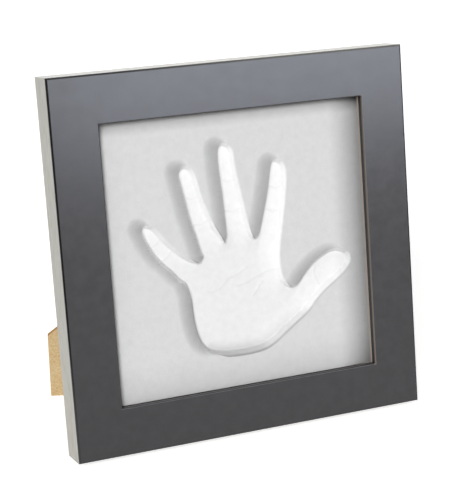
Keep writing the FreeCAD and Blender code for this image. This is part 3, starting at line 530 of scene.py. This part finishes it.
def deselect_all():
    """Leave object mode with nothing selected."""
    if bpy.context.object and bpy.context.object.mode != "OBJECT":
        bpy.ops.object.mode_set(mode="OBJECT")
    bpy.ops.object.select_all(action="DESELECT")


def finished(piece, name, body, material, node_name):
    """Name a modelled piece, put it on its body in place of a CAD node, and give it its finish."""
    piece.name = name
    piece.data.name = name
    piece.data.materials.clear()
    piece.data.materials.append(material)
    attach(piece, body)
    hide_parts(node_name)


# Clay panel with the print of the hand

def blend(pair, share):
    """A value that goes from the first of a pair to the second as the share goes from 0 to 1."""
    return pair[0] + (pair[1] - pair[0]) * share


def limited(values):
    """The values kept between 0 and 1."""
    return np.clip(values, 0, 1)


def smooth_loop(points, steps=5):
    """A closed Catmull-Rom curve through the points, as an array of places."""
    corners = np.array(points) * MM
    before, after = np.roll(corners, 1, axis=0), np.roll(corners, -1, axis=0)
    beyond = np.roll(corners, -2, axis=0)
    rows = []
    for share in np.arange(steps) / steps:
        rows.append(0.5 * (
            2 * corners + (after - before) * share
            + (2 * before - 5 * corners + 4 * after - beyond) * share ** 2
            + (3 * corners - before - 3 * after + beyond) * share ** 3
        ))
    return np.stack(rows, axis=1).reshape(-1, 2)


def nearest_on(start, end, places):
    """For each place, the step to the nearest point of a straight stretch, and that point's share
    of the way along it."""
    run = end - start
    along = limited((places - start) @ run / max(run @ run, TINY_SQUARE))[:, None]
    return start + along * run - places, along


def inside(line, places):
    """Whether each place lies inside a closed line."""
    within = np.zeros(len(places), bool)
    for start, end in zip(line, np.roll(line, -1, axis=0)):
        spans = (start[1] > places[:, 1]) != (end[1] > places[:, 1])
        rise = end[1] - start[1] if end[1] != start[1] else 1.0
        crossing = start[0] + (places[:, 1] - start[1]) / rise * (end[0] - start[0])
        within ^= spans & (places[:, 0] < crossing)
    return within


def outline_gaps(places):
    """How far each place lies outside the hand's outline."""
    line = smooth_loop(HAND)
    squares = np.full(len(places), np.inf)
    for start, end in zip(line, np.roll(line, -1, axis=0)):
        squares = np.minimum(squares, (nearest_on(start, end, places)[0] ** 2).sum(axis=1))
    return np.sqrt(squares) * np.where(inside(line, places), -1, 1)


def outward_normals(line):
    """The directions straight out of a closed line at its points, for a line that runs
    anticlockwise."""
    runs = np.roll(line, -1, axis=0) - np.roll(line, 1, axis=0)
    return np.stack((runs[:, 1], -runs[:, 0]), axis=1) / np.hypot(*runs.T)[:, None]


def beside_outline(places):
    """How each place lies to the hand's outline: whether it is inside it, how far away from it,
    how soft its wall is there, how much that wall looks down the panel, by which share of the
    depth the steep walls near it lift the floor, and the step onto the outline."""
    line = smooth_loop(HAND)
    within = inside(line, places)
    side = np.where(within, -1, 1)
    nearest = np.full(len(places), np.inf)
    soft, low, far, lift = np.zeros((4, len(places)))
    onto = np.zeros_like(places)
    normals = outward_normals(line)
    stretches = zip(line, np.roll(line, -1, axis=0), normals, np.roll(normals, -1, axis=0))
    for start, end, start_normal, end_normal in stretches:
        step, along = nearest_on(start, end, places)
        gap = np.sqrt((step ** 2).sum(axis=1))
        normal = blend((start_normal, end_normal), along)
        outward = normal * TURN_RADIUS - step * side[:, None]
        outward /= np.hypot(*outward.T)[:, None]
        softness = limited(outward @ np.array(SOFT_SIDE)) ** SOFT_POWER

        # Outside the outline the nearest stretch is found in widths of its own wall.
        walls_away = gap / np.where(within, 1.0, blend(WALL_WIDTHS, softness))
        nearer = walls_away < nearest
        nearest[nearer] = walls_away[nearer]
        soft[nearer] = softness[nearer]
        far[nearer] = gap[nearer]
        low[nearer] = limited(-outward[nearer, 1]) ** 2
        onto[nearer] = step[nearer]
        steepness = limited(-normal @ np.array(SOFT_SIDE))
        lift = np.maximum(lift, FLOOR_LIFT * steepness * limited(1 - gap / LIFT_WIDTH) ** 2)
    return within, far, soft, low, lift, onto


def print_shares(places):
    """How deep the hand lies at each place, as a share: 1 on its floor, 0 on the untouched clay.
    Then how far below the floor the heel dips, how much painted light whitens the clay, and
    how much painted shade greys it, all as shares."""
    within, far, soft, low, lift, _ = beside_outline(places)
    wall = blend(WALL_WIDTHS, soft)
    foot = blend(FOOT_WIDTHS, soft)
    power = blend(WALL_POWERS, soft)
    past = far * np.where(within, -1, 1) - SOFT_SHIFT * soft
    left = limited(1 - past / wall)

    # The wall's curve and its rounded foot meet at this share of the depth, with one slope.
    rise = power * foot / (2 * wall + power * foot)
    floor = 1 - rise * limited(1 + past / foot) ** 2
    share = np.where(past < 0, floor, (1 - rise) * left ** power)
    # Painted light: how much whiter the print's floor and steep wall are painted.
    white_from = blend(WHITE_FROM, soft)
    white = limited((share - white_from) / (blend(WHITE_TO, soft) - white_from))

    heel = limited((-places[:, 1] - HEEL_START) / HEEL_BLEND) * low
    near_rim = limited(1 - far / HEEL_DIP_WIDTH) ** 2
    edge = WALL_WIDTHS[0] * (1 - soft)
    dip = heel * np.where(within, near_rim, left ** 2)
    # Painted shade: the heel's floor greys towards its rim.
    dark = heel * np.where(within, near_rim, limited((edge + RIM_LINE - past) / RIM_LINE))
    # Painted shade: a thin grey line along the palm's rim.
    palm = limited((-places[:, 1] - RIM_START) / HEEL_BLEND) * np.maximum(low, soft)
    rim = palm * limited(1 - np.abs(past - edge) / RIM_LINE)
    # Painted shade: the soft wall greys towards its foot.
    shade = np.where(past > 0, left * soft, 0)
    grey = rim * RIM_PAINTED_SHADE + dark * HEEL_PAINTED_SHADE + shade * WALL_PAINTED_SHADE
    return share * (1 - lift), dip, white, grey


def crease_shares(places):
    """Fine ridges where the skin's creases were, as shares of their height."""
    shares = np.zeros(len(places))
    for points in CREASES:
        line = np.array(points) * MM
        for start, end in zip(line, line[1:]):
            step = nearest_on(start, end, places)[0]
            widths_away = (step ** 2).sum(axis=1) / (CREASE_WIDTH / 2) ** 2
            shares = np.maximum(shares, np.exp(-widths_away))
    return shares


def edge_rolls(places, half):
    """How far the clay rolls down near the window's four sides, and its painted shade."""
    gaps = {
        "right": half - places[:, 0], "left": half + places[:, 0],
        "top": half - places[:, 1], "bottom": half + places[:, 1],
    }
    drops = np.zeros(len(places))
    greys = np.zeros(len(places))
    for side, (width, drop, grey) in ROLLS.items():
        share = limited(1 - gaps[side] / width)
        drops += drop * share ** 2
        # Painted shade along the roll.
        greys += grey * share ** ROLL_PAINTED_SHADE_POWER
    return drops, greys


def refine_outline(clay):
    """Cut the grid's cells beside the hand's outline finer."""
    centres = np.zeros(len(clay.data.polygons) * 3)
    clay.data.polygons.foreach_get("center", centres)
    gaps = outline_gaps(centres.reshape(-1, 3)[:, :2])
    bpy.ops.object.mode_set(mode="EDIT")
    bpy.ops.mesh.select_mode(type="FACE")
    bpy.ops.mesh.select_all(action="DESELECT")
    bpy.ops.object.mode_set(mode="OBJECT")
    clay.data.polygons.foreach_set("select", (gaps > FINE_INSIDE) & (gaps < FINE_OUTSIDE))
    bpy.ops.object.mode_set(mode="EDIT")
    bpy.ops.mesh.subdivide(number_cuts=FINE_CUTS, ngon=False)
    bpy.ops.object.mode_set(mode="OBJECT")


def model_clay():
    """A fine grid, raised to the clay's surface, with its rim taken down behind the frame's lip.
    The corners nearest to the hand's outline are first moved onto it, so that the grid's cells
    don't show there."""
    half = window_half - CLAY_SIDE_GAP
    cell = 2 * half / CLAY_CELLS / (FINE_CUTS + 1)
    deselect_all()
    bpy.ops.mesh.primitive_grid_add(
        x_subdivisions=CLAY_CELLS, y_subdivisions=CLAY_CELLS, size=2 * half,
    )
    clay = bpy.context.object
    refine_outline(clay)
    coordinates = np.zeros(len(clay.data.vertices) * 3)
    clay.data.vertices.foreach_get("co", coordinates)
    coordinates = coordinates.reshape(-1, 3)
    places = coordinates[:, :2]
    _, far, *_, onto = beside_outline(places)
    places += onto * (far < cell / 2)[:, None]
    pressed, dip, white, shade = print_shares(places)
    drops, greys = edge_rolls(places, half)
    swells = np.array([noise.noise(Vector((x, y, 0)) / SWELL_SIZE) for x, y in places])
    creases = crease_shares(places) * pressed
    pushed = pressed * PRINT_DEPTH + dip * HEEL_DIP - creases * CREASE_HEIGHT
    surface = clay_top - drops - pushed + swells * SWELL_HEIGHT
    coordinates[:, 2] = np.maximum(surface, board_top)
    clay.data.vertices.foreach_set("co", coordinates.ravel())
    # pressed holds painted light that whitens the print; rolled holds painted shade.
    for name, values in (("pressed", white), ("rolled", greys + shade + creases * CREASE_PAINTED_SHADE)):
        share = clay.data.attributes.new(name, "FLOAT", "POINT")
        share.data.foreach_set("value", values)
    clay.data.update()

    bpy.ops.object.mode_set(mode="EDIT")
    bpy.ops.mesh.select_mode(type="EDGE")
    bpy.ops.mesh.select_all(action="DESELECT")
    bpy.ops.mesh.select_non_manifold(extend=False)
    extrude_rim(lip_back - clay_top)
    flatten_selected(clay, lip_back)
    extrude_rim(0)
    widen = slab_half / half
    bpy.ops.transform.resize(value=(widen, widen, 1), center_override=(0, 0, 0))
    extrude_rim(board_top - lip_back)
    bpy.ops.mesh.edge_face_add()
    bpy.ops.mesh.select_all(action="SELECT")
    bpy.ops.mesh.normals_make_consistent(inside=False)
    bpy.ops.object.mode_set(mode="OBJECT")
    clay.data.transform(panel)
    bpy.ops.object.shade_smooth_by_angle(angle=math.radians(CLAY_SMOOTH_ANGLE))
    return clay


def extrude_rim(height):
    """Draw the selected edges of a piece in edit mode out by a height."""
    bpy.ops.mesh.extrude_edges_move(TRANSFORM_OT_translate={"value": (0, 0, height)})


def flatten_selected(piece, height):
    """Bring the selected corners of a piece in edit mode to one height."""
    bpy.ops.object.mode_set(mode="OBJECT")
    for vertex in piece.data.vertices:
        if vertex.select:
            vertex.co.z = height
    bpy.ops.object.mode_set(mode="EDIT")


# Screws

def model_screw():
    """A pan head screw standing on the origin's plane, with a cross recess and a plain shank."""
    deselect_all()
    bpy.ops.mesh.primitive_cylinder_add(
        vertices=SCREW_SIDES, radius=SCREW_HEAD_RADIUS, depth=SCREW_HEAD_HEIGHT,
        location=(0, 0, SCREW_HEAD_HEIGHT / 2),
    )
    head = bpy.context.object
    bpy.ops.object.transform_apply(location=True, rotation=False, scale=False)
    rim = head.modifiers.new("rim", "BEVEL")
    rim.width = HEAD_ROUND
    rim.segments = HEAD_ROUND_STEPS
    rim.limit_method = "ANGLE"
    bpy.ops.object.modifier_apply(modifier="rim")
    for length, width in ((RECESS_LENGTH, RECESS_WIDTH), (RECESS_WIDTH, RECESS_LENGTH)):
        deselect_all()
        bpy.ops.mesh.primitive_cube_add(size=1, location=(0, 0, SCREW_HEAD_HEIGHT))
        cutter = bpy.context.object
        cutter.scale = (length, width, 2 * RECESS_DEPTH)
        bpy.ops.object.transform_apply(location=True, rotation=True, scale=True)
        bpy.ops.object.mode_set(mode="EDIT")
        bpy.ops.mesh.select_all(action="DESELECT")
        bpy.ops.object.mode_set(mode="OBJECT")
        for vertex in cutter.data.vertices:
            vertex.select = vertex.co.z < SCREW_HEAD_HEIGHT
        bpy.ops.object.mode_set(mode="EDIT")
        bpy.ops.transform.resize(
            value=(RECESS_TAPER, RECESS_TAPER, 1), center_override=(0, 0, 0),
        )
        deselect_all()
        bpy.context.view_layer.objects.active = head
        recess = head.modifiers.new("recess", "BOOLEAN")
        recess.operation = "DIFFERENCE"
        recess.object = cutter
        bpy.ops.object.modifier_apply(modifier="recess")
        bpy.data.objects.remove(cutter)
    deselect_all()
    bpy.ops.mesh.primitive_cylinder_add(
        vertices=SCREW_SIDES // 2, radius=SCREW_SHANK_RADIUS, depth=SCREW_LENGTH,
        location=(0, 0, -SCREW_LENGTH / 2),
    )
    head.select_set(True)
    bpy.context.view_layer.objects.active = head
    bpy.ops.object.join()
    bpy.ops.object.shade_smooth_by_angle(angle=math.radians(SCREW_SMOOTH_ANGLE))
    return head


def place_screws(material):
    """One screw for each turn button, from its joint's place, with its recess turned a little."""
    pattern = model_screw()
    seat = reach("turn_button_screws", -out)[1] - SCREW_HEAD_HEIGHT
    names = sorted(name for name in joints if name.startswith("turn_button"))
    for count, name in enumerate(names):
        origin = Vector(joints[name]["pos_m"])
        origin -= out * (seat + origin.dot(out))
        turn = Matrix.Rotation(math.radians(FIRST_TURN + NEXT_TURN * count), 4, "Z")
        screw = pattern if count == len(names) - 1 else pattern.copy()
        if screw is not pattern:
            screw.data = pattern.data.copy()
            bpy.context.scene.collection.objects.link(screw)
        screw.data.transform(Matrix.Translation(origin) @ turned_to(-out) @ turn)
        finished(
            screw, name.replace("_turn", "_screw"), "frame", material,
            "turn_button_screws",
        )


# Lights, floor and camera

def set_camera():
    """The camera at the photograph's viewing angle."""
    camera = bpy.data.objects.new("camera", bpy.data.cameras.new("camera"))
    bpy.context.scene.collection.objects.link(camera)
    camera.data.lens = CAMERA_LENS
    camera.data.sensor_width = SENSOR
    heading, pitch = math.radians(CAMERA_HEADING), math.radians(CAMERA_PITCH)
    ahead = Vector((
        math.sin(heading) * math.cos(pitch),
        math.cos(heading) * math.cos(pitch),
        -math.sin(pitch),
    ))
    roll = Matrix.Rotation(math.radians(CAMERA_ROLL), 4, "Z")
    camera.matrix_world = Matrix.Translation(CAMERA_PLACE) @ turned_to(ahead, "-Z") @ roll
    bpy.context.scene.camera = camera


def direction(heading, height):
    """A direction from its heading, in degrees to the right of the front, and its height."""
    side, rise = math.radians(heading), math.radians(height)
    return Vector((
        math.sin(side) * math.cos(rise),
        -math.cos(side) * math.cos(rise),
        math.sin(rise),
    ))


def hang_lamp(name, kind, source, strength, **settings):
    """A lamp that shines on the frame's middle from a direction, and that the camera can't see."""
    lamp = bpy.data.objects.new(name, bpy.data.lights.new(name, kind))
    bpy.context.scene.collection.objects.link(lamp)
    lamp.data.energy = strength
    for setting, value in settings.items():
        setattr(lamp.data, setting, value)
    lamp.matrix_world = Matrix.Translation(panel_middle) @ turned_to(source)
    lamp.visible_camera = False
    return lamp


def set_lights():
    """A soft key light from the left, a reflector at the front right that shows in gloss, and a
    weak light on the back."""
    key = hang_lamp(
        "key_light", "SUN", direction(*KEY_DIRECTION), KEY_STRENGTH, angle=math.radians(KEY_SPREAD),
    )
    key.visible_glossy = False
    source = direction(*REFLECTOR_DIRECTION)
    reflector = hang_lamp(
        "reflector", "AREA", source, REFLECTOR_WATTS, shape="RECTANGLE",
        size=REFLECTOR_WIDTH, size_y=REFLECTOR_HEIGHT, color=linear(REFLECTOR_COLOUR)[:3],
    )
    away = Matrix.Translation(source * REFLECTOR_DISTANCE)
    reflector.matrix_world = away @ reflector.matrix_world
    reflector.visible_diffuse = False
    hang_lamp(
        "back_light", "SUN", direction(*BACK_DIRECTION), BACK_STRENGTH,
        angle=math.radians(BACK_SPREAD),
    )


def set_world():
    """Plain studio light all round, with white where the camera or a gloss looks past the frame."""
    world = bpy.data.worlds.new("studio")
    bpy.context.scene.world = world
    tree = empty_tree(world)
    rays = add(tree, "LightPath").outputs
    sharp = add(tree, "Math", {
        0: rays["Is Glossy Ray"], 1: rays["Is Transmission Ray"],
    }, operation="MAXIMUM")
    seen = add(tree, "Math", {0: rays["Is Camera Ray"], 1: sharp}, operation="MAXIMUM")
    fill = add(tree, "Background", {"Color": "#FFFFFF", "Strength": FILL_STRENGTH})
    white = add(tree, "Background", {"Color": "#FFFFFF", "Strength": 1.0})
    chosen = add(tree, "MixShader", {0: seen, 1: fill, 2: white})
    add(tree, "OutputWorld", {"Surface": chosen})


def lay_floor():
    """A white table top that keeps the frame's shadow."""
    deselect_all()
    bpy.ops.mesh.primitive_plane_add(size=TABLE_SIZE, location=(0, 0, 0))
    floor = bpy.context.object
    floor.name = "table_top"
    material = bpy.data.materials.new("white_table_top")
    tree = empty_tree(material)
    rays = add(tree, "LightPath").outputs
    seen = add(tree, "Math", {
        0: rays["Is Camera Ray"], 1: rays["Is Glossy Ray"],
    }, operation="MAXIMUM")
    brightness = add(tree, "Math", {0: seen, 1: TABLE_GLOW}, operation="MULTIPLY")
    matt = add(tree, "BsdfDiffuse", {"Color": "#E6E6E6"})
    glow = add(tree, "Emission", {"Color": "#FFFFFF", "Strength": brightness})
    both = add(tree, "AddShader", {0: matt, 1: glow})
    add(tree, "OutputMaterial", {"Surface": both})
    floor.data.materials.append(material)


def stand_flags():
    """Two black cards beside the frame, which only gloss can see: they draw its edges dark."""
    material = new_material("black_card", Base_Color="#080808", Roughness=1.0)[0]
    for name, (place, back, length) in CARDS.items():
        deselect_all()
        bpy.ops.mesh.primitive_plane_add(
            size=1, location=(place, back - length / 2, CARD_HEIGHT / 2),
            rotation=(0, math.pi / 2, 0),
        )
        card = bpy.context.object
        card.scale = (CARD_HEIGHT, length, 1)
        card.name = name
        card.data.materials.append(material)
        for ray in ("camera", "diffuse", "shadow", "transmission"):
            setattr(card, "visible_" + ray, False)


# The object
set_camera()
across_rail = satin_lacquer_on_wood("satin_lacquer_across", "x")
upright_rail = satin_lacquer_on_wood("satin_lacquer_upright", "y")
clay_finish = air_dried_clay()
zinc = zinc_plated_steel()
brass = brass_plated_steel()
for name in ("rail_top", "rail_bottom"):
    wear(name, across_rail)
for name in ("rail_left", "rail_right"):
    wear(name, upright_rail)
for name in ("backing_board", "easel_leg"):
    wear(name, raw_fibreboard("raw_fibreboard_" + name, flat_side(name)))
for name in frame["nodes"]:
    if name.startswith("hinge") or name == "corner_v_nails":
        wear(name, zinc)
    elif name.startswith(("turn_button", "sawtooth", "hanger")):
        wear(name, brass)
finished(model_clay(), "pressed_clay", "frame", clay_finish, "clay_panel")
place_screws(brass)

# The studio
set_world()
lay_floor()
set_lights()
stand_flags()
bpy.context.scene.view_settings.view_transform = "Standard"
